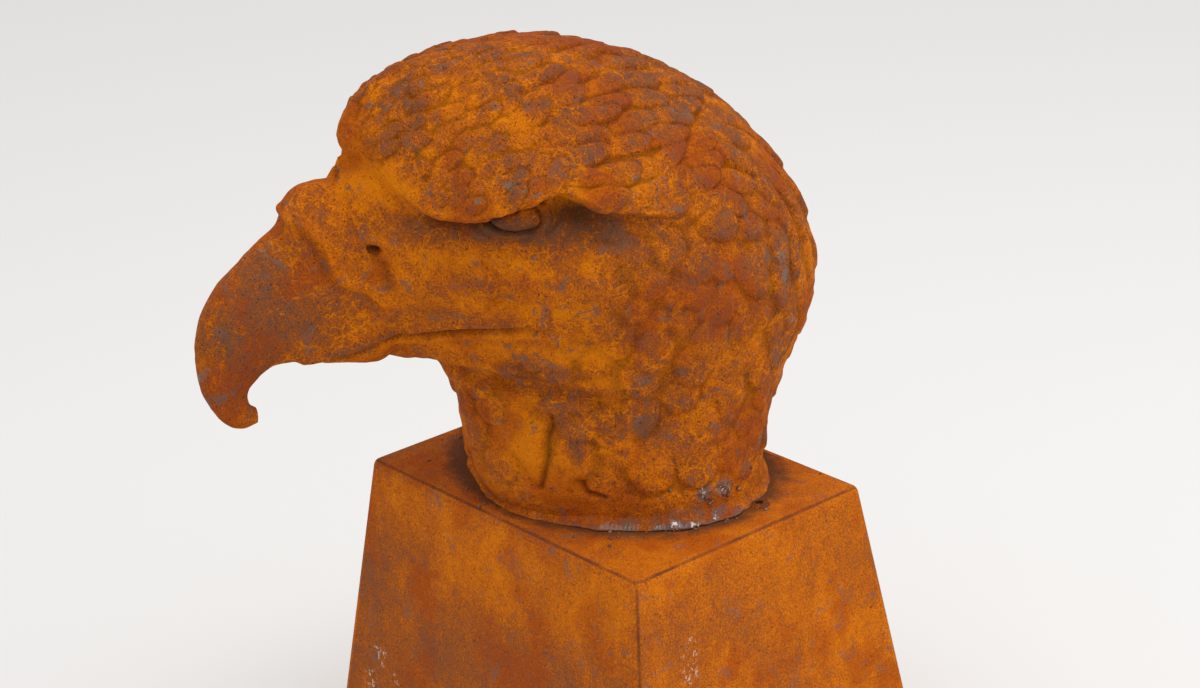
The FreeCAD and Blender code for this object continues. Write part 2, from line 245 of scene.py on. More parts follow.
def rusted(name, crust, bare, bump, streaked=0.0, lower=0.0, seam=0.0, foot_dark=0.0, lime=()):
    """Rusted plate: washed by runs, browner towards the foot, with a dark line where a weld
    was ground back, a darker ring round the neck's foot and flecks of lime."""
    material, tree = new_material(name)
    place = put(tree, "TexCoord").outputs["Object"]
    washed = put(tree, "Group", {"Vector": place}, node_tree=runs).outputs["Mask"]
    amount = add_times(tree, washed, -streaked, crust)
    upward = put(tree, "SeparateXYZ", {0: place}).outputs["Z"]
    amount = add_times(tree, rise(tree, upward, LOWER_FROM, LOWER_TO), lower, amount)
    skin = put(tree, "Group", {"Vector": place, "Crust": amount, "Bare": bare, "Coarse": 1.3,
                               "Veins": 0.05, "Mottle": 0.6, "Grain": 1.8, "Patches": 14.0},
               node_tree=rust)
    coat(tree, skin, bump, skin.outputs["Height"])
    colour = skin.outputs["Color"]
    if seam:
        facing = put(tree, "SeparateXYZ", {0: put(tree, "NewGeometry").outputs["Normal"]}).outputs
        level = maths(tree, "ABSOLUTE", maths(tree, "SUBTRACT", facing["Z"], 0.8))
        x, y, z = (maths(tree, "ABSOLUTE", facing[axis]) for axis in "XYZ")
        beside = maths(tree, "ADD", maths(tree, "ABSOLUTE", maths(tree, "SUBTRACT", x, y)), z)
        line = maths(tree, "MAXIMUM", rise(tree, level, 0.17, 0.04), rise(tree, beside, 0.55, 0.28))
        line = times(tree, line, swing(tree, cloud(tree, place, 0.018, 3.0), 1.6, 0.75))
        colour = mix(tree, times(tree, line, seam), colour, SEAM)
    # a darker ring on the top plate round the neck's foot
    if foot_dark:
        off = put(tree, "VectorMath", {0: place, 1: tuple(NECK_MIDDLE)}, operation="SUBTRACT").outputs[0]
        off = put(tree, "VectorMath", {0: off, 1: FOOT_DARK_SHAPE}, operation="MULTIPLY").outputs[0]
        off = put(tree, "VectorMath", {0: off}, operation="LENGTH").outputs["Value"]
        off = swing(tree, cloud(tree, place, 0.012, 4.0, 0.65, 0.6), 0.22, off)
        ring_darkening = times(tree, rise(tree, off, 1.22, 1.06), foot_dark)
        colour = mix(tree, ring_darkening, colour, FOOT_DARK)
    for x, y, z, reach in lime:
        off = put(tree, "VectorMath", {0: place, 1: (x, y, z)}, operation="DISTANCE").outputs["Value"]
        flecked = rise(tree, cloud(tree, place, 0.0034, 4.0, 0.6, 0.8), 0.55, 0.62)
        fleck = times(tree, rise(tree, off, reach, 0.3 * reach), flecked)
        colour = mix(tree, times(tree, fleck, 0.8), colour, LIME)
    tree.links.new(colour, tree.nodes["Principled BSDF"].inputs["Base Color"])
    return material


def dress(nodes, material):
    """Give CAD nodes their finish."""
    for name in nodes:
        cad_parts[name].data.materials.clear()
        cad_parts[name].data.materials.append(material)


dress(["plinth_front_plate", "plinth_back_plate"],
      rusted("rusted_wide_plate", 0.36, 0.3, 0.0005, streaked=0.1, lower=0.36, lime=LIME_SPOTS[:3]))
dress(["plinth_right_plate", "plinth_left_plate"],
      rusted("rusted_narrow_plate", 0.48, 0.3, 0.0005, streaked=0.34, lime=LIME_SPOTS[3:]))
dress(["plinth_top_plate"], rusted("rusted_top_plate", 0.45, 0.2, 0.0005, foot_dark=0.85))

# Seam welds: MIG weld metal along every edge of the plinth, ground back to a soft corner.
# They rust a little darker than the plate.

dress(["plinth_top_weld", "plinth_corner_welds"],
      rusted("rusted_seam", 0.48, 0.2, 0.0004, seam=0.85))

# Head: one hollow sand casting in iron, with neck, skull and overhanging brows. Its feathers
# were carved in the pattern and came out of the sand softened, rough and a little uneven.

HEAD_LENGTH = 0.376                     # nape to the front of the hook
HEAD_TURN = math.radians(22.0)
FORWARD = np.array([-math.sin(HEAD_TURN), -math.cos(HEAD_TURN), 0.0])
LEFT = np.array([math.cos(HEAD_TURN), -math.sin(HEAD_TURN), 0.0])
UP = np.array([0.0, 0.0, 1.0])
# Sections from foot to forehead, in shares of the head's length: back s, back h, front s,
# front h, twist in degrees, place of the brow's lip, its overhang, share of the half width.
SECTION_SHARES = np.array([
    (-0.207, 0.0, 0.223, 0.0, 22, 0.5, 0.0, 1.0),
    (-0.218, 0.059, 0.242, 0.053, 20, 0.5, 0.0, 1.0),
    (-0.245, 0.117, 0.25, 0.106, 16, 0.51, 0.0, 1.0),
    (-0.282, 0.176, 0.255, 0.154, 11, 0.53, 0.0, 1.0),
    (-0.316, 0.234, 0.261, 0.191, 6, 0.56, 0.0, 1.0),
    (-0.338, 0.303, 0.276, 0.214, 2, 0.6, 0.0, 1.0),
    (-0.335, 0.375, 0.291, 0.229, 0, 0.65, 0.0, 1.0),
    (-0.309, 0.455, 0.304, 0.237, 0, 0.7, 0.0, 1.0),
    (-0.255, 0.537, 0.315, 0.242, 0, 0.73, 0.003, 1.0),
    (-0.181, 0.614, 0.325, 0.246, 0, 0.71, 0.01, 1.0),
    (-0.088, 0.673, 0.334, 0.249, 0, 0.66, 0.022, 1.0),
    (0.016, 0.713, 0.342, 0.251, 0, 0.63, 0.032, 1.0),
    (0.109, 0.734, 0.35, 0.253, 0, 0.57, 0.035, 1.0),
    (0.199, 0.738, 0.358, 0.256, 0, 0.56, 0.03, 1.0),
    (0.287, 0.726, 0.368, 0.259, 0, 0.6, 0.026, 1.0),
    (0.351, 0.702, 0.379, 0.262, 0, 0.68, 0.017, 0.98),
    (0.391, 0.668, 0.388, 0.268, 0, 0.78, 0.004, 0.92),
    (0.41, 0.634, 0.397, 0.292, 0, 0.86, 0.0, 0.78),
    (0.417, 0.602, 0.403, 0.345, 0, 0.88, 0.0, 0.52)])
PLAN_SHARES = np.array([
    (-0.4, 0.277), (-0.27, 0.282), (-0.13, 0.282), (0.0, 0.274), (0.11, 0.255),
    (0.21, 0.215), (0.29, 0.165), (0.35, 0.122), (0.4, 0.085), (0.45, 0.072)])
GIRTH_SHARES = np.array([
    (0.0, 1.0), (0.11, 0.97), (0.21, 0.94), (0.29, 0.96), (0.37, 1.0),
    (0.58, 1.0), (0.69, 0.95), (0.8, 0.9)])
# Swells and hollows of the face: s, h, spread along s, spread along h, height.
FACE_SHARES = (
    (0.19, 0.495, 0.06, 0.034, -0.02), (0.115, 0.515, 0.035, 0.028, -0.012),
    (0.3, 0.45, 0.05, 0.06, -0.014), (0.15, 0.415, 0.08, 0.045, 0.01),
    (0.215, 0.345, 0.06, 0.018, 0.008), (0.02, 0.4, 0.09, 0.09, 0.008))
# The brow's lower edge in the side view, s and h, from behind the eye to the cere.
BROW_EDGE_SHARES = np.array([
    (-0.111, 0.455), (-0.049, 0.507), (0.006, 0.514), (0.051, 0.522), (0.085, 0.532),
    (0.11, 0.549), (0.137, 0.564), (0.165, 0.559), (0.195, 0.547), (0.222, 0.537),
    (0.247, 0.526), (0.281, 0.521), (0.312, 0.523), (0.34, 0.543), (0.37, 0.572),
    (0.4, 0.6)])
LIP_SHARE = 0.008                       # half the thickness of the brow's edge
BROW_REACH_SHARE = 0.085
UNDERCUT = 0.45
FULLNESS = 0.9
FILLET_SHARE = 0.034                    # reach of the fillet between face and cere
EYE_SHARE = (0.199, 0.524)
EYE_SPREAD = (0.041, 0.026)
EYE_HEIGHT, EYE_EDGE = 0.0036, 0.86
# Rings round the eye: height, distance from its middle in shares of the eye, width.
LIDS, LID_CUT, EYE_FOLD = (0.0024, 1.14, 0.14), (-0.0012, 0.9, 0.07), (0.0012, 1.6, 0.13)
LID_SHADE = (0.9, 0.9, 0.06)
NOSTRIL_SHARE = (0.391, 0.466)
NOSTRIL_SPREAD = (0.0088, 0.0062)
NOSTRIL_DEPTH, NOSTRIL_RIM = 0.0055, (0.002, 2.2, 1.2)
NOSTRIL_GROOVE = ((0.391, 0.458), (0.378, 0.44), (0.372, 0.405))
MOUTH_SHARES = ((0.5, 0.268), (0.478, 0.272), (0.445, 0.279), (0.415, 0.289), (0.388, 0.3),
                (0.35, 0.311), (0.3, 0.316), (0.246, 0.328), (0.19, 0.34), (0.165, 0.336))
MOUTH_DEPTH, MOUTH_WIDTH = 0.005, 0.0052
CERE_SHARES = ((0.515, 0.51), (0.493, 0.503), (0.475, 0.484), (0.465, 0.459), (0.457, 0.425),
               (0.44, 0.408), (0.41, 0.397), (0.385, 0.383))
JAW_SHARES = ((0.328, 0.273), (0.286, 0.251), (0.25, 0.247), (0.215, 0.247), (0.177, 0.245),
              (0.144, 0.245), (0.105, 0.233), (0.07, 0.22))
# Ridges (above zero) and grooves beside lines of the side view: line, its shift along s and
# along h, width, height.
BEAK_RIDGES = (
    (CERE_SHARES, -0.011, 0.0, 0.011, 0.0036), (CERE_SHARES, 0.004, 0.0, 0.007, -0.0026),
    (MOUTH_SHARES, 0.0, 0.013, 0.008, 0.0026))
FACE_RIDGES = (
    (((0.151, 0.552), (0.158, 0.524), (0.17, 0.5)), 0.0, 0.0, 0.009, 0.0035),
    (MOUTH_SHARES, 0.0, -0.014, 0.007, 0.0016), (MOUTH_SHARES, 0.0, -0.025, 0.003, -0.0009),
    (MOUTH_SHARES, 0.0, -0.035, 0.003, -0.0007),
    (((0.225, 0.39), (0.243, 0.374)), 0.0, 0.0, 0.005, -0.002),
    (((0.267, 0.238), (0.243, 0.187), (0.246, 0.12)), 0.0, 0.0, 0.006, -0.0016),
    (((0.165, 0.372), (0.2, 0.388), (0.232, 0.386)), 0.0, 0.0, 0.008, -0.0025))
JAW_RIDGE = ((JAW_SHARES, 0.0, 0.01, 0.012, 0.0028),)
JAW_CREASE = ((JAW_SHARES, 0.0, -0.016, 0.012, -0.0048),)
BROW_CREASE = BROW_EDGE_SHARES[8:14]
# Change of crust beside the mouth and the cere's edge, in the same columns.
RUST_EDGES = (
    (MOUTH_SHARES, 0.0, 0.014, 0.009, 0.3), (MOUTH_SHARES, 0.0, -0.016, 0.009, -0.3),
    (CERE_SHARES, -0.01, 0.0, 0.009, -0.35), (CERE_SHARES, 0.012, 0.0, 0.014, 0.15))
# Width, length and height of the neck's feathers in metres, and what other places add.
NECK_WIDE, NAPE_WIDER, CROWN_WIDER, BROW_WIDER = 0.0245, -0.0075, -0.009, -0.0045
NECK_LONG, NAPE_LONGER, CROWN_LONGER, BROW_LONGER = 0.034, 0.01, 0.008, -0.011
NECK_LIFT, CHEEK_HIGHER, CROWN_HIGHER, BROW_HIGHER = 0.0034, -0.002, 0.001, -0.0012
BESIDE_GAP, ALONG_GAP = 0.76, 0.47      # least distance of feathers, of width and length
# How far single feathers differ: shares of half width, length and height, softness of the
# edge, lean and bend.
HALF_RANGE, LENGTH_RANGE, LIFT_RANGE, EDGE_RANGE = (0.95, 1.25), (0.9, 1.25), (0.45, 1.25), (0.16, 0.34)
LEAN_SPREAD, BEND = 0.18, 0.15
LEAF_POWER = 2.2
# Leaves that stand out on the neck: s, h, width, length, height.
KEY_LEAVES = (
    (0.207, 0.12, 0.027, 0.062, 0.0034), (0.232, 0.06, 0.022, 0.045, 0.0026),
    (0.15, 0.092, 0.028, 0.034, 0.0032), (0.092, 0.108, 0.028, 0.04, 0.0032),
    (0.02, 0.11, 0.027, 0.04, 0.003), (0.11, 0.182, 0.029, 0.036, 0.0032),
    (0.06, 0.195, 0.026, 0.036, 0.003), (0.09, 0.245, 0.022, 0.026, 0.0026),
    (-0.01, 0.225, 0.022, 0.03, 0.0026))
# The longest leaf, in front: s, h, spreads along s and h, and its height in metres.
BIG_LEAF, BIG_LEAF_HEIGHT = (0.208, 0.122, 0.026, 0.075), 0.0032
# Bright rims and deep cuts beside the leaves that stand out, s and h; the cuts also carry painted shadow.
LEAF_RIMS = (((0.142, 0.161), (0.139, 0.146), (0.128, 0.136), (0.109, 0.144), (0.092, 0.164),
              (0.084, 0.189)),
             ((0.173, 0.095), (0.155, 0.123), (0.136, 0.131), (0.123, 0.115), (0.126, 0.085)))
LEAF_CUTS = (((0.172, 0.185), (0.186, 0.15), (0.196, 0.115), (0.206, 0.08), (0.213, 0.058)),
             ((0.179, 0.075), (0.177, 0.059), (0.161, 0.052)))
RIM_WIDTH, RIM_HEIGHT = 0.005, 0.0008
CUT_WIDTH, CUT_DEPTH = 0.004, 0.0034
# Deep cuts beside the long feathers of the crown, s and h.
CROWN_CUTS = (((0.158, 0.695), (0.043, 0.716)), ((0.058, 0.707), (0.011, 0.705)),
              ((0.016, 0.686), (-0.025, 0.683)), ((0.174, 0.643), (0.083, 0.679)),
              ((0.161, 0.631), (0.058, 0.629)))
CROWN_CUT_WIDTH, CROWN_CUT_DEPTH = 0.003, 0.0018
# Unevenness of the sand: height, size of its lumps, seed. Rougher on the forehead.
SAND = ((0.0008, 0.03, 1), (0.0008, 0.012, 2), (0.0006, 0.005, 3))
FOREHEAD_SAND = ((0.0011, 0.009, 4), (0.0006, 0.0045, 8))
FOREHEAD_DENT = ((0.412, 0.592, 0.03, 0.02, -0.0055),)
# Browner (above zero) and brighter places: s, h, spread along s, spread along h, change.
RUST_ZONES = (
    (0.385, 0.575, 0.05, 0.035, -0.6), (0.365, 0.655, 0.06, 0.05, 0.02),
    (0.24, 0.66, 0.06, 0.04, -0.22), (0.0, 0.68, 0.05, 0.05, 0.18),
    (0.075, 0.57, 0.06, 0.022, -0.3), (0.205, 0.515, 0.05, 0.022, 0.25),
    (0.25, 0.502, 0.11, 0.02, 0.32), (0.1, 0.495, 0.09, 0.032, 0.38),
    (0.26, 0.455, 0.09, 0.014, -0.25), (0.255, 0.412, 0.07, 0.012, 0.28),
    (0.23, 0.378, 0.12, 0.012, -0.25), (0.33, 0.37, 0.05, 0.03, 0.12),
    (-0.06, 0.385, 0.09, 0.075, 0.26), (0.3, 0.33, 0.1, 0.012, -0.2),
    (0.09, 0.292, 0.2, 0.016, -0.32), (0.17, 0.232, 0.09, 0.014, 0.12),
    (0.045, 0.16, 0.045, 0.035, 0.3), (0.212, 0.115, 0.032, 0.07, -0.34),
    (0.092, 0.246, 0.04, 0.016, -0.3), (0.168, 0.14, 0.016, 0.03, 0.2),
    (0.09, 0.07, 0.03, 0.04, -0.3), (0.56, 0.37, 0.1, 0.1, 0.4),
    (0.64, 0.25, 0.05, 0.08, 0.28))
# Places of glazed drips on the neck's foot, x, y, z, and their reach; their glaze also brings painted
# highlights.
SLAG_PLACES = np.array([(0.0909, 0.0381, 0.2565), (0.0939, 0.0514, 0.2561)])
SLAG_REACH = 0.0058
# Spots where grey metal shows: s, h, spread along s, spread along h, strength.
BARE_SPOTS = (
    (0.254, 0.555, 0.016, 0.008, 2.5), (0.212, 0.584, 0.014, 0.007, 2.5),
    (0.215, 0.58, 0.07, 0.022, 1.0), (0.181, 0.568, 0.014, 0.008, 2.0),
    (0.005, 0.57, 0.02, 0.016, 2.5), (-0.147, 0.467, 0.018, 0.03, 2.5),
    (-0.208, 0.456, 0.014, 0.014, 2.5), (-0.213, 0.395, 0.014, 0.024, 2.5),
    (-0.232, 0.352, 0.018, 0.018, 3.0), (0.657, 0.265, 0.012, 0.04, 3.0))
# Dark hollows round the eye: s, h, spread along s, spread along h, darkness.
SHADED_PLACES = ((0.115, 0.528, 0.05, 0.024, 1.0), (0.2, 0.505, 0.15, 0.022, 0.3))


def soft_step(x):
    """0 for x below 0, 1 above 1, smooth between."""
    x = np.clip(x, 0.0, 1.0)
    x = np.clip(x, 0.0, 1.0)
    return x * x * (3.0 - 2.0 * x)


def fade(value, start, width):
    """0 before a start and 1 a width further on, smooth between; below zero the width
    goes the other way."""
    return soft_step((value - start) / width)


def length(vectors):
    """Lengths of vectors."""
    return np.linalg.norm(vectors, axis=-1)


def unit(vectors):
    """Vectors brought to a length of 1."""
    return vectors / np.maximum(length(vectors), 1e-12)[..., None]


def walked(steps):
    """Distance walked before each of a row of steps, and after the last."""
    return np.append(0.0, np.cumsum(steps))

def smooth_rows(table, steps):
    """Rows on a Catmull-Rom curve through the rows of a table, steps between neighbours."""
    ends = np.vstack([2 * table[0] - table[1], table, 2 * table[-1] - table[-2]])
    t = (np.arange(steps) / steps)[:, None, None]
    a, b, c, d = ends[:-3], ends[1:-2], ends[2:-1], ends[3:]
    rows = (2 * b + (c - a) * t + (2 * a - 5 * b + 4 * c - d) * t ** 2
            + (3 * b - a - 3 * c + d) * t ** 3) / 2
    return np.vstack([rows.transpose(1, 0, 2).reshape(-1, table.shape[1]), table[-1]])


def even_rows(table, count):
    """count rows read from a smooth table at equal steps along its first two columns."""
    fine = smooth_rows(table, 60)
    path = walked(np.hypot(*np.diff(fine[:, :2], axis=0).T))
    at = np.linspace(0.0, path[-1], count)
    return np.stack([np.interp(at, path, column) for column in fine.T], axis=1)


def plain_half_width(s, h):
    """Half width over the side view: plan outline times girth, with the jaw drawn in."""
    wide = np.interp(s, *PLAN_SHARES.T) * np.interp(h, *GIRTH_SHARES.T)
    jaw = np.clip((s - 0.16) / 0.19, 0, 1) * np.clip((0.4 - h) / 0.13, 0, 1)
    return wide * (1.0 - 0.45 * jaw)


def hill(s, h, s0, h0, along, high):
    """1 at a place of the side view, fading over two spreads."""
    return np.exp(-((s - s0) / along) ** 2 - ((h - h0) / high) ** 2)


def hills(s, h, table):
    """Sum of hills over the side view, from rows of place, spreads and height."""
    return sum(height * hill(s, h, s0, h0, along, high) for s0, h0, along, high, height in table)


def ring(distance, height, at, width):
    """A height where a distance has a value, fading over a width."""
    return height * np.exp(-((distance - at) / width) ** 2)


def off_line(s, h, line):
    """Distance of side-view points from a broken line."""
    least = np.full(np.shape(s), np.inf)
    for (s0, h0), (s1, h1) in zip(line, line[1:]):
        run, lift = s1 - s0, h1 - h0
        t = np.clip(((s - s0) * run + (h - h0) * lift) / (run ** 2 + lift ** 2), 0, 1)
        least = np.minimum(least, np.hypot(s - s0 - t * run, h - h0 - t * lift))
    return least


def cut_line(s, h, line, width):
    """1 on a line of the side view, fading over a width."""
    return np.exp(-(off_line(s, h, line) / width) ** 2)


def ridges(s, h, table):
    """Sum of ridges over the side view, from rows of line, shift, width and height."""
    return sum(height * cut_line(s - ds, h - dh, line, width) for line, ds, dh, width, height in table)


def in_frame(s, w, h, turn=0.0):
    """Points of the head's own frame, turned about the neck, as points of the part in metres."""
    s, w = s * np.cos(turn) - w * np.sin(turn), s * np.sin(turn) + w * np.cos(turn)
    return NECK_MIDDLE + HEAD_LENGTH * (s[..., None] * FORWARD + w[..., None] * LEFT + h[..., None] * UP)


def outward(points):
    """Unit normals of a grid that closes round its second index."""
    around = np.roll(points, -1, axis=1) - np.roll(points, 1, axis=1)
    return unit(np.cross(around, np.gradient(points, axis=0)))


def lumps(points, size, seed):
    """Smooth random heights between -1 and 1, one random value at each corner of a lattice
    of cells of the given size and eased between them."""
    lattice = np.random.default_rng(seed).uniform(-1, 1, (48, 48, 48))
    cell = np.floor(points / size).astype(int)
    part = soft_step(points / size - cell)
    total = np.zeros(points.shape[:-1])
    for corner in np.ndindex(2, 2, 2):
        share = np.prod(np.where(corner, part, 1 - part), axis=-1)
        total += share * lattice[tuple(np.moveaxis((cell + corner) % 48, -1, 0))]
    return total


def rough(points, table):
    """Sum of lumps, from rows of height, size and seed."""
    return sum(height * lumps(points, size, seed) for height, size, seed in table)


def new_object(name, data):
    """Object linked to the scene."""
    made = bpy.data.objects.new(name, data)
    bpy.context.scene.collection.objects.link(made)
    return made


def fill_mesh(name, places, quads, fans, normal, material, values):
    """Piece from its points, four-cornered and three-cornered faces and point normals;
    values are numbers kept at each point for the material."""
    mesh = bpy.data.meshes.new(name)
    mesh.vertices.add(len(places))
    mesh.vertices.foreach_set("co", places.ravel())
    corners = np.concatenate([quads.ravel(), fans.ravel()])
    mesh.loops.add(len(corners))
    mesh.loops.foreach_set("vertex_index", corners)
    sizes = np.concatenate([np.full(len(quads), 4), np.full(len(fans), 3)])
    mesh.polygons.add(len(sizes))
    mesh.polygons.foreach_set("loop_start", np.append(0, np.cumsum(sizes)[:-1]))
    mesh.polygons.foreach_set("use_smooth", np.ones(len(sizes), bool))
    mesh.update(calc_edges=True)
    for label, value in values.items():
        layer = mesh.attributes.new(label, "FLOAT", "POINT")
        layer.data.foreach_set("value", value)
    mesh.normals_split_custom_set_from_vertices(normal.tolist())
    mesh.materials.append(material)
    return new_object(name, mesh)


def grid_faces(rows, cols):
    """Faces of a grid that closes round its second index, and the fans that cap its ends
    at two points counted after its own."""
    index = np.arange(rows * cols).reshape(rows, cols)
    after = np.roll(index, -1, axis=1)
    quads = np.stack([index[:-1], after[:-1], after[1:], index[1:]], axis=-1).reshape(-1, 4)
    foot, tip = rows * cols, rows * cols + 1
    fans = np.vstack([np.stack([after[0], index[0], np.full(cols, foot)], axis=-1),
                      np.stack([index[-1], after[-1], np.full(cols, tip)], axis=-1)])
    return quads, fans


def grid_solid(name, points, normal, material, **values):
    """Closed piece from a grid that closes round its second index, both ends capped."""
    quads, fans = grid_faces(*points.shape[:2])
    places = np.vstack([points.reshape(-1, 3), points[0].mean(0), points[-1].mean(0)])
    flat = np.vstack([normal.reshape(-1, 3), normal[0].mean(0) + (0, 0, -1), normal[-1].mean(0)])
    values = {label: np.append(value.ravel(), [value[0].mean(), value[-1].mean()])
              for label, value in values.items()}
    return fill_mesh(name, places, quads, fans, flat, material, values)


def brow_place(bs, bh, ts, th, lip, overhang):
    """Place of the brow's edge on each section line: where the line crosses the edge drawn
    in the side view, eased to the section's own place where the brow ends."""
    z = np.linspace(0.35, 0.95, 241)
    above = bh + (th - bh) * z > np.interp(bs + (ts - bs) * z, *BROW_EDGE_SHARES.T)
    crossing = z[np.argmax(above, axis=1)][:, None]
    place = (lip + (crossing - lip) * soft_step(overhang / 0.006)).ravel()
    window = np.hanning(17)[1:-1]
    padded = np.pad(place, len(window) // 2, mode="edge")
    return np.convolve(padded, window / window.sum(), mode="valid")[:, None]


def body_grid(count, below, band, above):
    """Side-view place, half width and place against the brow's lip for every point of neck
    and skull. Each ring is a section line from throat to crown; its width there is the plain
    half width, plus the brow's swell above the lip and the hollow under it, plus the face."""
    rows = even_rows(SECTION_SHARES, count)
    ts, th, bs, bh, twist, lip, overhang, share = (column[:, None] for column in rows.T)
    lip = brow_place(bs, bh, ts, th, lip, overhang)
    line = np.hypot(ts - bs, th - bh)
    edge = LIP_SHARE / line
    spread_below = (1 - np.cos(np.pi * np.linspace(0, 1, below))) / 2
    spread_above = (1 - np.cos(np.pi * np.linspace(0, 1, above))) / 2
    across = np.linspace(-1, 1, band + 2)[1:-1]
    z = np.hstack([(lip - edge) * spread_below, lip + edge * across,
                   lip + edge + (1 - lip - edge) * spread_above])
    s, h = bs + (ts - bs) * z, bh + (th - bh) * z
    over = (z - lip) * line
    above_lip = soft_step((over / LIP_SHARE + 1) / 2)
    swell = overhang * np.exp(-(np.maximum(over - 2 * LIP_SHARE, 0) / BROW_REACH_SHARE) ** 2)
    hollow = -UNDERCUT * overhang * np.exp(-(over / BROW_REACH_SHARE * 2) ** 2)
    relief = hollow + (swell - hollow) * above_lip
    for s0, h0, along, high, height in FACE_SHARES:
        bump = height * hill(s, h, s0, h0, along, high)
        relief += bump * (1 - above_lip) if height < 0 else bump
    width = np.maximum(plain_half_width(s, h) * share + relief, 0.0)
    w = width * (2 * np.sqrt(np.clip(z * (1 - z), 0, None))) ** FULLNESS

    def both(left, right):
        return np.hstack([left, right[:, -2:0:-1]])

    s, h, w = both(s, s), both(h, h), both(w, -w)
    points = in_frame(s, w, h, np.radians(twist))
    return points, s, w, h, both(over, over), both(above_lip, above_lip)


def domed_end(points, count, reach):
    """Rings that close a grid's last ring like a dome: they shrink as a cosine while they
    move forward as a sine."""
    middle = points[-1].mean(0)
    turn = np.linspace(0, 0.49 * np.pi, count + 1)[1:, None, None]
    dome = middle + (points[-1] - middle) * np.cos(turn) + FORWARD * reach * np.sin(turn)
    return np.vstack([points, dome])


def place_feathers(points, wide, long, amount, placed, rng):
    """Row and column of each feather: rings a feather apart, feathers a width apart along a
    ring and staggered from ring to ring, leaving out any that crowd one already placed."""
    path = walked(length(np.diff(points, axis=0)).max(axis=1))
    placed, at, odd = list(placed), 0.0, 0
    spots = np.array([points[i, j] for i, j in placed]).reshape(-1, 3)
    downstream = unit(-np.gradient(points, axis=0))
    while at < path[-1]:
        i = int(np.argmin(np.abs(path - at)))
        arc = walked(length(np.diff(points[i], axis=0)))
        reach = (0.5 * odd + rng.uniform(-0.1, 0.1)) * wide[i, 0]
        while reach < arc[-1]:
            j = int(np.argmin(np.abs(arc - reach)))
            if amount[i, j] > 0.05:
                away = spots - points[i, j]
                along = away @ downstream[i, j]
                beside = length(away - along[:, None] * downstream[i, j])
                gaps = np.hypot(beside / (BESIDE_GAP * wide[i, j]), along / (ALONG_GAP * long[i, j]))
                if gaps.min(initial=2.0) > 1.0:
                    placed.append((i, j))
                    spots = np.vstack([spots, points[i, j]])
            reach += 0.5 * wide[i, j] * rng.uniform(0.86, 1.1)
        at += 0.25 * long[i].min()
        odd = 1 - odd
    return placed


def feather_relief(points, normal, wide, long, lift, lean, softer, placed, rng):
    """Height of the feathers over the skin. Each is a rounded leaf that rises from its base
    to its tip and drops sharply past its edge; where leaves overlap the highest shows."""
    height = np.zeros(points.shape[:2])
    arc = np.cumsum(length(np.roll(points, -1, axis=1) - points), axis=1)
    path = np.cumsum(length(np.diff(points, axis=0, prepend=points[:1])), axis=0)
    downstream = unit(-np.gradient(points, axis=0))
    for i, j in placed:
        half = 0.5 * wide[i, j] * rng.uniform(*HALF_RANGE)
        half_long = 0.5 * long[i, j] * rng.uniform(*LENGTH_RANGE)
        high = lift[i, j] * rng.uniform(*LIFT_RANGE)
        soft = rng.uniform(*EDGE_RANGE) + softer[i, j]
        reach = 1.25 * max(half, half_long)
        away = np.abs(arc[i] - arc[i, j])
        cols = np.flatnonzero(np.minimum(away, arc[i, -1] - away) < reach)
        rows = np.flatnonzero(np.abs(path[:, j] - path[i, j]) < reach)
        near = np.ix_(rows, cols)
        tip = downstream[i, j]
        across = np.cross(normal[i, j], tip)
        turn = lean[i, j] + rng.normal(0, LEAN_SPREAD)
        tip, across = (tip * math.cos(turn) + across * math.sin(turn),
                       across * math.cos(turn) - tip * math.sin(turn))
        offset = points[near] - points[i, j]
        x, y = offset @ across / half, offset @ tip / half_long
        x = x + rng.uniform(-BEND, BEND) * y * y
        taper = 1.0 - 0.25 * np.clip(-y, 0, 1) ** 2
        round_off = (np.abs(x / taper) ** LEAF_POWER + np.abs(y) ** LEAF_POWER) ** (1 / LEAF_POWER)
        rising = 0.25 + 0.75 * soft_step((y + 1.0) / 1.7)
        bowed = 1.0 - 0.4 * np.clip(np.abs(x), 0, 1) ** 2
        leaf = high * soft_step((1.0 - round_off) / soft) * rising * bowed
        height[near] = np.maximum(leaf, height[near])
    return height


skin, s, w, h, over, above_lip = body_grid(640, 118, 11, 122)
tip_rings = 14
skin = domed_end(skin, tip_rings, 0.008)
s, w, h, over, above_lip = (np.vstack([value, np.repeat(value[-1:], tip_rings, axis=0)])
                            for value in (s, w, h, over, above_lip))
side = np.sign(w)
normal = outward(skin)

def fillet(distance, reach):
    """Swell of two surfaces near their meeting line, where the cere grows out of the face:
    (reach - distance)^2 / 4 reach."""
    return np.clip(reach - np.abs(distance), 0, None) ** 2 / (4 * reach)


def off_oval(w, h, half, middle, tall, power):
    """Distance from an oval section, to first order, with |w/half|^power + (h/tall)^2 = 1."""
    x, y = np.abs(w) / half, (h - middle) / tall
    slope = np.hypot(power * x ** (power - 1) / half, 2 * y / tall)
    return (x ** power + y ** 2 - 1) / np.maximum(slope, 1e-6)


def beak_distance(s, w, h):
    """Distance of points of the face from the root of the beak, in shares."""
    half = np.interp(s, (0.36, 0.41, 0.456), (0.082, 0.077, 0.071))
    return off_oval(w, h, half, 0.411, 0.147, 2.5)


def face_distance(s, w, h):
    """Distance of points of the beak from the front of the face, in shares."""
    station, top, share = SECTION_SHARES[-4:, [0, 1, 7]].T
    top, share = np.interp(s, station, top), np.interp(s, station, share)
    return off_oval(w, h, plain_half_width(s, h) * share, (top + 0.263) / 2, (top - 0.263) / 2, 2.2)


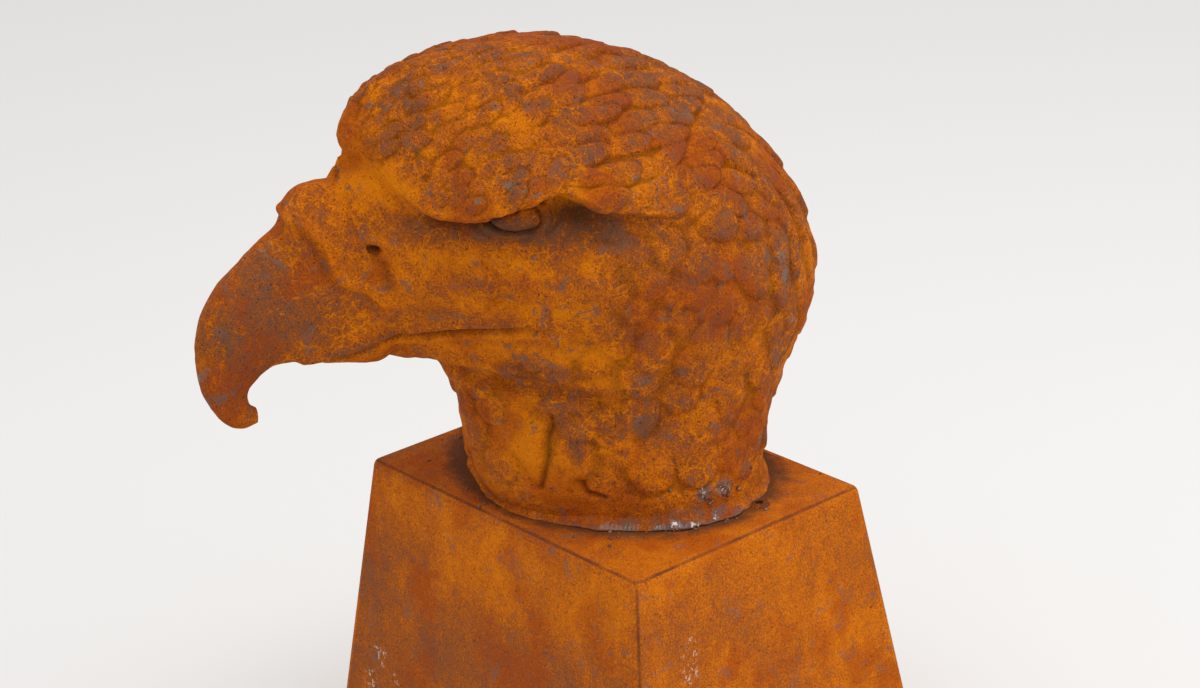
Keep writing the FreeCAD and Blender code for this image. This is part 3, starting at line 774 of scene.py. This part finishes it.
def eased(normal, s, w, h, distance):
    """Normals turned towards those of the other skin near the line where the two meet, so
    that no crease shows there; the other's come from how its distance grows each way."""
    step = 0.002
    other = (((distance(s + step, w, h) - distance(s - step, w, h))[..., None] * FORWARD
              + (distance(s, w + step, h) - distance(s, w - step, h))[..., None] * LEFT
              + (distance(s, w, h + step) - distance(s, w, h - step))[..., None] * UP))
    share = 0.5 * np.exp(-(distance(s, w, h) / FILLET_SHARE * 1.6) ** 2) * fade(s, 0.28, 0.05)
    share *= fade(h, 0.57, -0.04) * fade(s, 0.44, -0.02)
    return unit(normal + share[..., None] * (unit(other) - normal))


def beak_marks(s, h):
    """Depth of the nostril with its swollen rim, of the cere's step and of the closed mouth, and
    the painted shade in nostril, groove and mouth line; the same on the beak and on the face behind it."""
    nostril = np.hypot((s - NOSTRIL_SHARE[0]) / NOSTRIL_SPREAD[0],
                       (h - NOSTRIL_SHARE[1]) / NOSTRIL_SPREAD[1])
    hole = np.exp(-nostril ** 3)
    groove = cut_line(s, h, NOSTRIL_GROOVE, 0.008)
    mouth_fade = (0.3 + 0.7 * fade(s, 0.17, 0.1)) * (1 - 0.35 * fade(s, 0.34, 0.05))
    marks = ring(nostril, *NOSTRIL_RIM) - NOSTRIL_DEPTH * hole - 0.0016 * groove
    marks += ridges(s, h, BEAK_RIDGES) - MOUTH_DEPTH * cut_line(s, h, MOUTH_SHARES, MOUTH_WIDTH) * mouth_fade
    # painted shade in the nostril, its groove and the line of the mouth
    dark = np.maximum(0.9 * hole, cut_line(s, h, MOUTH_SHARES, 0.005) * mouth_fade)
    return marks, np.maximum(dark, 0.35 * groove)


swell = HEAD_LENGTH * fillet(beak_distance(s, w, h), FILLET_SHARE) * fade(s, 0.29, 0.05)
swell *= fade(h, 0.6, -0.04) * fade(h, 0.275, 0.05)

# where feathers grow, how wide and long they are, how high they stand and how they lean
crown = fade(over, 0.0, 0.03) * fade(h, 0.42, 0.12)
near_brow = crown * fade(s, 0.02, 0.2)
far_crown = crown * (1 - near_brow)
ridge = fade(over, 0.16, 0.08)
nape = fade(s, -0.12, -0.1) * fade(h, 0.2, 0.12)
cheek = (1 - above_lip) * fade(h, 0.29, 0.04) * fade(s, -0.2, 0.12)
jaw_drop = 0.1 * fade(s, 0.18, 0.08)
bare_face = fade(s, 0.07, 0.08) * fade(h + jaw_drop, 0.29, 0.035) * (1 - above_lip)
front = np.maximum(fade(s, 0.385, 0.02), fade(s, 0.3, 0.03) * fade(h, 0.585, -0.03))
big_leaf = hill(s, h, *BIG_LEAF)
grown = (1 - bare_face) * (1 - front) * fade(h, 0.035, 0.012) * (1 - big_leaf)
wide = NECK_WIDE + NAPE_WIDER * nape + CROWN_WIDER * crown * (1 - nape) + BROW_WIDER * near_brow
long = NECK_LONG + NAPE_LONGER * nape + CROWN_LONGER * far_crown + BROW_LONGER * near_brow
lift = NECK_LIFT + CHEEK_HIGHER * cheek * (1 - crown) + CROWN_HIGHER * far_crown + BROW_HIGHER * near_brow
lean = side * 0.55 * crown * (1 - ridge) * (1 - nape)


def softened(height, passes):
    """Heights averaged with their neighbours on the grid, a few times over."""
    for _ in range(passes):
        ends = np.pad(height, ((1, 1), (0, 0)), mode="edge")
        sides = np.roll(height, 1, axis=1) + np.roll(height, -1, axis=1)
        height = 0.5 * height + 0.125 * (sides + ends[:-2] + ends[2:])
    return height


def nearest(s0, h0, left):
    """Grid point of one side closest to a place of the side view."""
    gap = np.hypot(s - s0, h - h0) + 9.0 * (side != left)
    return np.unravel_index(np.argmin(gap), gap.shape)


# the leaves that stand out on the front of the neck, then all the others round them
key_leaves = []
for s0, h0, key_wide, key_long, key_lift in KEY_LEAVES:
    for left in (1, -1):
        spot = nearest(s0, h0, left)
        key_leaves.append(spot)
        wide[spot], long[spot], lift[spot] = key_wide, key_long, key_lift
rng = np.random.default_rng(7)
placed = place_feathers(skin, wide, long, grown, key_leaves, rng)
feathers = feather_relief(skin, normal, wide, long, lift, lean, 0.04 * (1 - crown), placed, rng)
feathers = (crown * feathers + (1 - crown) * softened(feathers, 1)) * grown
# valleys are where the feathers lie lower than a smoothed copy of themselves; they get painted shade
smoothed = crown * softened(feathers, 24) + (1 - crown) * softened(feathers, 60)
valleys = np.clip((smoothed - feathers) / (0.14 * lift) - 0.1, 0, 1) * grown
crown_cuts = sum(cut_line(s, h, line, CROWN_CUT_WIDTH) for line in CROWN_CUTS) * above_lip * (side > 0)

# eye, lids, folds and creases of the face
eye = np.hypot((s - EYE_SHARE[0]) / EYE_SPREAD[0], (h - EYE_SHARE[1]) / EYE_SPREAD[1])
under_eye = fade(h, EYE_SHARE[1] + 0.01, -0.02)
face, cut = beak_marks(s, h)
face = face + EYE_HEIGHT * np.sqrt(np.clip(1 - (eye / EYE_EDGE) ** 2, 0, None))
face += ring(eye, *LIDS) + ring(eye, *LID_CUT) + ring(eye, *EYE_FOLD) * under_eye
waver = 0.006 * lumps(skin, 0.014, 15)
jaw_fade = fade(s, 0.06, 0.06) * fade(s, 0.33, -0.05)
face += ridges(s, h, FACE_RIDGES)
face += (ridges(s, h, JAW_RIDGE) + ridges(s, h + waver, JAW_CREASE)) * jaw_fade
under_brow = fade(s, 0.345, -0.05)
face -= 0.003 * cut_line(s, h + 0.01, BROW_CREASE, 0.007) * under_brow
leaf_cuts = sum(cut_line(s + waver, h, line, CUT_WIDTH) for line in LEAF_CUTS)
leaf_rims = sum(cut_line(s + waver, h, line, RIM_WIDTH) for line in LEAF_RIMS)
face += BIG_LEAF_HEIGHT * big_leaf + RIM_HEIGHT * leaf_rims - CUT_DEPTH * leaf_cuts
face *= 1 - above_lip

# the sand's unevenness, then everything together
forehead = fade(s, 0.24, 0.1) * fade(over, 0.0, 0.02) * fade(h, 0.57, 0.03)
uneven = rough(skin, SAND) + forehead * rough(skin, FOREHEAD_SAND) + hills(s, h, FOREHEAD_DENT)
uneven *= fade(h, 0.01, 0.045)
slag = sum(np.exp(-(length(skin - place) / SLAG_REACH) ** 4) for place in SLAG_PLACES)
uneven += slag * 0.0012 * (0.6 + lumps(skin, 0.0022, 13))
feathers_base = (0.0012 + 0.0008 * crown) * grown
relief = feathers - feathers_base - CROWN_CUT_DEPTH * crown_cuts + face + swell + uneven
body = skin + normal * relief[..., None]
normal = eased(outward(body), s, w, h, beak_distance)

# how raised, how brown and how bare each point is, and how much painted shade darkens it
stand_out = np.minimum(lift / 0.002, 1.0) * grown * (0.75 + 0.25 * crown)
raised = 0.5 + (np.clip(feathers / (0.8 * lift), 0, 1) - 0.5) * stand_out
crust = 0.46 + 1.25 * hills(s, h, RUST_ZONES) + ridges(s, h, RUST_EDGES) - 0.4 * leaf_rims
bare = 0.35 + hills(s, h, BARE_SPOTS)
# painted shade under the eye and lids, in the hollows round the eye, under the jaw, in the leaf cuts, under
# the brow's lip and in the valleys between feathers
cut = np.maximum.reduce([
    cut, ring(eye, *LID_SHADE) * under_eye,
    *(dark * hill(s, h, *place) for *place, dark in SHADED_PLACES),
    0.12 * cut_line(s, h + 0.018, JAW_SHARES, 0.01) * jaw_fade,
    0.8 * np.minimum(leaf_cuts, 1.0) ** 2,
    0.8 * cut_line(s, h + 0.008, BROW_CREASE, 0.006) * under_brow])
cut = np.maximum(cut * (1 - above_lip), valleys * (0.46 + 0.1 * crown))

SLAG = paint(74, 63, 57)
PAINTED_GLINT = paint(222, 214, 202)


def pointed_rust(name, bump):
    """Rusted metal whose points carry how raised they are, how brown, how bare, how dark
    with painted shade in cuts and hollows (or with dark slag), and how glazed with slag,
    whose glaze also brings painted highlights."""
    material, tree = new_material(name)
    place = put(tree, "TexCoord").outputs["Object"]
    raised, crust, bare, cut, glazed = (
        put(tree, "Attribute", attribute_name=label).outputs["Fac"]
        for label in ("raised", "crust", "bare", "cut", "glaze"))
    skin = put(tree, "Group", {"Vector": place, "Raised": raised, "Crust": crust, "Bare": bare,
                               "Cut": cut, "Mottle": 1.3, "Grain": 1.9, "Coarse": 1.25,
                               "Veins": 0.5, "Scale Spots": 0.8}, node_tree=rust)
    coat(tree, skin, bump, skin.outputs["Height"])
    # painted highlights: silver flecks on the glazed slag stand in for its glints
    glint_mask = rise(tree, cloud(tree, place, 0.003, 4.0, 0.65, 0.6), 0.57, 0.62)
    glint_mask = times(tree, glint_mask, rise(tree, glazed, 0.62, 0.88))
    colour = mix(tree, times(tree, glazed, 0.75), skin.outputs["Color"], SLAG)
    colour = mix(tree, glint_mask, colour, PAINTED_GLINT)
    surface = tree.nodes["Principled BSDF"]
    tree.links.new(colour, surface.inputs["Base Color"])
    tree.links.new(glazed, surface.inputs["Coat Weight"])
    surface.inputs["Coat Roughness"].default_value = 0.2
    return material


iron = pointed_rust("rusted_cast_iron", 0.0013)
pieces = []
ends = (0, 165, 330, 495, len(body) - 1)
for label, start, end in zip(("neck", "nape", "crown", "forehead"), ends, ends[1:]):
    part = slice(start, end + 1)
    pieces.append(grid_solid("head_" + label, body[part], normal[part], iron, raised=raised[part],
                             crust=crust[part], cut=cut[part], bare=bare[part], glaze=slag[part]))

# Beak: cere, horn and hook, cast in one with the head and dressed smoother than the feathers.
# A step parts the cere from the horn, and a cut marks the line of the closed mouth.

# Stations from root to tip: top s, top h, under s, under h, half width.
BEAK_SHARES = np.array([
    (0.372, 0.53, 0.351, 0.272, 0.056), (0.398, 0.558, 0.374, 0.257, 0.073),
    (0.426, 0.556, 0.399, 0.256, 0.077), (0.473, 0.553, 0.439, 0.262, 0.071),
    (0.501, 0.531, 0.468, 0.265, 0.066), (0.515, 0.498, 0.489, 0.269, 0.060),
    (0.545, 0.476, 0.505, 0.273, 0.055), (0.582, 0.448, 0.521, 0.275, 0.051),
    (0.616, 0.419, 0.535, 0.275, 0.046), (0.643, 0.378, 0.548, 0.273, 0.041),
    (0.660, 0.330, 0.563, 0.265, 0.036), (0.663, 0.279, 0.574, 0.255, 0.031),
    (0.654, 0.231, 0.585, 0.242, 0.026), (0.635, 0.197, 0.590, 0.229, 0.021),
    (0.609, 0.179, 0.588, 0.215, 0.017), (0.580, 0.183, 0.578, 0.205, 0.011)])
BEAK_FULLNESS = 0.8
BEAK_SAND = ((0.0008, 0.022, 5), (0.0004, 0.009, 6), (0.0002, 0.004, 7))


def beak_grid(count, around):
    """Rings along the beak: each follows a section line from under to top, its width the
    station's half width by a sine raised to the fullness; the root sinks into the face."""
    ts, th, bs, bh, half = (column[:, None] for column in even_rows(BEAK_SHARES, count).T)
    a = 2 * np.pi * np.arange(around) / around
    z = (1 - np.cos(a)) / 2
    s, h = bs + (ts - bs) * z, bh + (th - bh) * z
    side = np.sign(np.sin(a)) * np.abs(np.sin(a)) ** BEAK_FULLNESS
    return s, half * side, h


s, w, h = beak_grid(420, 220)
horn = in_frame(s, w, h)
normal = outward(horn)
swell = HEAD_LENGTH * fillet(face_distance(s, w, h), FILLET_SHARE) * fade(s, 0.425, -0.02)
swell *= fade(h, 0.275, 0.05)
marks, cut = beak_marks(s, h)
horn = horn + normal * (rough(horn, BEAK_SAND) + swell + marks)[..., None]
normal = eased(outward(horn), s, w, h, face_distance)
crust = 0.5 + hills(s, h, RUST_ZONES) + ridges(s, h, RUST_EDGES)
pieces.append(grid_solid("head_beak", horn, normal, iron, raised=0.5 + 0 * s, crust=crust, cut=cut,
                         bare=0.35 + hills(s, h, BARE_SPOTS)))

for piece in pieces:
    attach(piece, "root")
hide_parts("head_casting")

# Neck weld: one heavy fillet bead round the neck's foot, laid by hand and left as welded, with
# the ripples of its pool, and drops of spatter thrown off it on to the plate and the iron.

BEAD_LEG = 0.0082                       # reach of the bead over the plate and up the neck
BEAD_ROOT = 0.0015
BEAD_LUMPS = ((0.2, 0.016, 9), (0.12, 0.006, 10))
BEAD_RIPPLE, RIPPLE_PITCH = 0.0002, 0.0024
GLAZE_ANGLE, GLAZE_SPREAD = math.radians(-20.0), math.radians(34.0)
FULL_ANGLE, FULL_SPREAD = math.radians(-35.0), math.radians(48.0)
SPATTER = 60
SPATTER_VALUES = dict(raised=0.5, crust=0.8, bare=0.3, cut=0.2, glaze=0.7)
# Where the arc was broken off on the plate, and the reach of the mound that it left.
CRATER = np.array([0.1, 0.0735, PLINTH_TOP])
CRATER_REACH = 0.0066


def foot_outline(count):
    """Even points of the neck's outline where it meets the plinth, the way out from it at
    each, and their distance along it."""
    ts, th, bs, bh, twist = SECTION_SHARES[0, :5]
    a = 2 * np.pi * np.arange(count) / count
    z = (1 - np.cos(a)) / 2
    s = bs + (ts - bs) * z
    w = plain_half_width(s, 0.0) * np.sign(np.sin(a)) * np.abs(np.sin(a)) ** FULLNESS
    foot = in_frame(s, w, 0 * s, math.radians(twist))
    path = walked(length(np.diff(foot, axis=0, append=foot[:1])))
    even = np.linspace(0, path[-1], count, endpoint=False)
    foot = np.stack([np.interp(even, path, np.append(column, column[0])) for column in foot.T], axis=1)
    side = unit(np.cross(np.roll(foot, -1, axis=0) - np.roll(foot, 1, axis=0), UP))
    return foot, side, even


def ring_solid(name, points, normal, material, **values):
    """Closed piece from a grid that closes round both its indices."""
    index = np.arange(points.shape[0] * points.shape[1]).reshape(points.shape[:2])
    after = np.roll(index, -1, axis=1)
    quads = np.stack([index, after, np.roll(after, -1, axis=0), np.roll(index, -1, axis=0)], axis=-1)
    values = {label: value.ravel() for label, value in values.items()}
    return fill_mesh(name, points.reshape(-1, 3), quads.reshape(-1, 4), np.zeros((0, 3), int),
                     normal.reshape(-1, 3), material, values)


corner, out, path = foot_outline(1400)
line = np.stack([path, 0 * path, 0 * path], axis=1)
a = 2 * np.pi * np.arange(31, -1, -1)[None] / 32     # backwards, so that faces point outwards
heading = np.arctan2(corner[:, 1] - NECK_MIDDLE[1], corner[:, 0] - NECK_MIDDLE[0])
glaze = ring(heading, 1.0, GLAZE_ANGLE, GLAZE_SPREAD)[:, None]
full = np.exp(-((heading - FULL_ANGLE) / FULL_SPREAD) ** 4)
leg = 1 + rough(line, BEAD_LUMPS) + 0.25 * glaze[:, 0]
leg = (BEAD_LEG * leg * (0.42 + 0.48 * full))[:, None]
bulge = np.abs(np.sin(2 * a))
stretch = path[:, None] + 0.0011 * lumps(line, 0.016, 9)[:, None]
pool = stretch / RIPPLE_PITCH + 0.35 * np.cos(a)
face = leg / (np.abs(np.cos(a)) + np.abs(np.sin(a))) * (1 + (0.26 * glaze - 0.22) * bulge)
face = face + BEAD_RIPPLE * (0.15 + glaze) * bulge * (np.abs(np.sin(np.pi * pool)) - 0.5)
shown = fade(np.cos(a), -0.1, 0.1) * fade(np.sin(a), -0.1, 0.1)
size = BEAD_ROOT + (face - BEAD_ROOT) * shown
ray = np.cos(a)[..., None] * out[:, None] + np.sin(a)[..., None] * UP
bead = corner[:, None] + size[..., None] * ray
bead = bead - 0.0003 * UP - (0.0012 * np.clip(np.sin(a), 0, 1))[..., None] * out[:, None]
bead = bead + (bulge * 0.0009 * lumps(bead, 0.0035, 12))[..., None] * UP
along = np.roll(bead, -1, axis=0) - np.roll(bead, 1, axis=0)
around = np.roll(bead, -1, axis=1) - np.roll(bead, 1, axis=1)
normal = unit(np.cross(around, along))
flat = np.zeros(bead.shape[:2])
slagged = 0.95 * glaze * soft_step((0.8 - np.sin(a) + 0.8 * lumps(bead, 0.006, 14)) / 0.5)
weld = pointed_rust("weld_bead", 0.0008)
bead_piece = ring_solid("neck_bead", bead, normal, weld, raised=0.5 + flat,
                        crust=0.42 + 0.25 * glaze + flat, bare=0.3 + flat, cut=0.15 * glaze + flat,
                        glaze=slagged)

# spatter, most of it near the glazed end, some of it thrown up the neck
rng = np.random.default_rng(11)
spots = rng.integers(0, len(corner), SPATTER)
close = np.flatnonzero(glaze[:, 0] > 0.35)
spots[:SPATTER // 2] = rng.choice(close, SPATTER // 2)
reach = BEAD_LEG + rng.exponential(0.006, SPATTER)
height = np.zeros(SPATTER)
thrown = np.arange(SPATTER) < SPATTER // 4
reach[thrown], height[thrown] = 0.0004, rng.uniform(0.009, 0.022, thrown.sum())
balls = corner[spots] + reach[:, None] * out[spots] + height[:, None] * UP
radius = rng.uniform(0.0006, 0.0014, SPATTER)
polar = np.pi * (np.arange(9) + 0.5)[:, None] / 9
turn = -2 * np.pi * np.arange(12) / 12
shell = np.stack([np.sin(polar) * np.cos(turn), np.sin(polar) * np.sin(turn),
                  np.cos(polar) + 0 * turn], axis=-1)
quads, fans = grid_faces(*shell.shape[:2])
shell = np.vstack([shell.reshape(-1, 3), UP, -UP])
drops = balls[:, None] + radius[:, None, None] * shell
start = len(shell) * np.arange(SPATTER)[:, None, None]
values = {label: np.full(drops.shape[:2], value).ravel() for label, value in SPATTER_VALUES.items()}
spatter = fill_mesh("neck_spatter", drops.reshape(-1, 3), (start + quads).reshape(-1, 4),
                    (start + fans).reshape(-1, 3), np.tile(shell, (SPATTER, 1)), weld, values)

# the crater: a low mound with a pit in it, its rim sunk into the plate; painted shade darkens the pit, over
# the mound's own dark colour
span = np.linspace(1, 0, 26)[:, None]
mound = 0.0016 * (1 - span ** 2) ** 2 - 0.002 * np.exp(-(span / 0.34) ** 4) + 0.0008
dish = np.stack([CRATER_REACH * span * np.cos(-turn), CRATER_REACH * span * np.sin(-turn),
                 mound * (span < 0.999) - 0.0004 + 0 * turn], axis=-1)
crater = CRATER + dish
even = np.ones(crater.shape[:2])
pit = np.exp(-(span / 0.4) ** 4) * even
crater_piece = grid_solid("neck_weld_crater", crater, outward(crater), weld, raised=0.5 * even,
                          crust=0.9 * even, bare=0 * even, cut=np.minimum(0.45 + pit, 1.15))

for piece in (bead_piece, spatter, crater_piece):
    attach(piece, "root")
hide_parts("neck_weld")

# Floor, studio light and camera: a wide pale floor, soft light all round, and a long
# lens a little above the head on the bird's left.

FLOOR_REACH = 20.0
floor_mesh = bpy.data.meshes.new("floor")
corners = [(x * FLOOR_REACH, y * FLOOR_REACH, 0) for x, y in ((-1, -1), (1, -1), (1, 1), (-1, 1))]
floor_mesh.from_pydata(corners, [], [(0, 1, 2, 3)])
floor = new_object("floor", floor_mesh)
paper, tree = new_material("white_paper")
sheet = tree.nodes["Principled BSDF"].inputs
sheet["Base Color"].default_value = paint(235, 234, 232)
sheet["Roughness"].default_value = 0.9
sheet["Specular IOR Level"].default_value = 0.0
floor_mesh.materials.append(paper)

world = bpy.data.worlds.new("studio")
bpy.context.scene.world = world
world.use_nodes = True
world.node_tree.nodes["Background"].inputs["Color"].default_value = (1.0, 1.0, 1.0, 1.0)
world.node_tree.nodes["Background"].inputs["Strength"].default_value = 0.8
bpy.context.scene.view_settings.view_transform = "Standard"


def aimed(right, up, back, place):
    """Matrix that turns x, y and z to three directions and moves the origin to a place."""
    return Matrix([*zip(right, up, back, place), (0, 0, 0, 1)])


AZIMUTH, ELEVATION, ROLL = math.radians(50.23), math.radians(22.07), math.radians(-3.0)
PICTURE_WIDTH, FOCAL_PIXELS = 1200, 2800
CAMERA_BACK, CAMERA_RIGHT, CAMERA_UP = 1.7165, -0.0025, 0.0781
back = np.array([math.sin(AZIMUTH) * math.cos(ELEVATION), -math.cos(AZIMUTH) * math.cos(ELEVATION),
                 math.sin(ELEVATION)])
right = np.array([math.cos(AZIMUTH), math.sin(AZIMUTH), 0.0])
up = np.cross(back, right)
plinth_top = np.array([*PLINTH_MIDDLE, PLINTH_TOP])
stand = plinth_top + CAMERA_BACK * back + CAMERA_RIGHT * right + CAMERA_UP * up
across = math.cos(ROLL) * right + math.sin(ROLL) * up
upright = math.cos(ROLL) * up - math.sin(ROLL) * right
lens = bpy.data.cameras.new("camera")
lens.sensor_width = 36.0
lens.lens = lens.sensor_width * FOCAL_PIXELS / PICTURE_WIDTH
camera = new_object("camera", lens)
camera.matrix_world = aimed(across, upright, back, stand)
bpy.context.scene.camera = camera


def softbox(name, place, size, watts):
    """Square soft light aimed at the plinth's top."""
    lamp = bpy.data.lights.new(name, "AREA")
    lamp.energy, lamp.size = watts, size
    holder = new_object(name, lamp)
    away = unit(place)
    level = unit(np.cross(UP, away))
    holder.matrix_world = aimed(level, np.cross(away, level), away, plinth_top + place)


softbox("key_light", 2.0 * up + 0.3 * right + 1.2 * back, 1.6, 22)
softbox("fill_light", 0.4 * up + 2.2 * right + 1.0 * back, 2.0, 10)
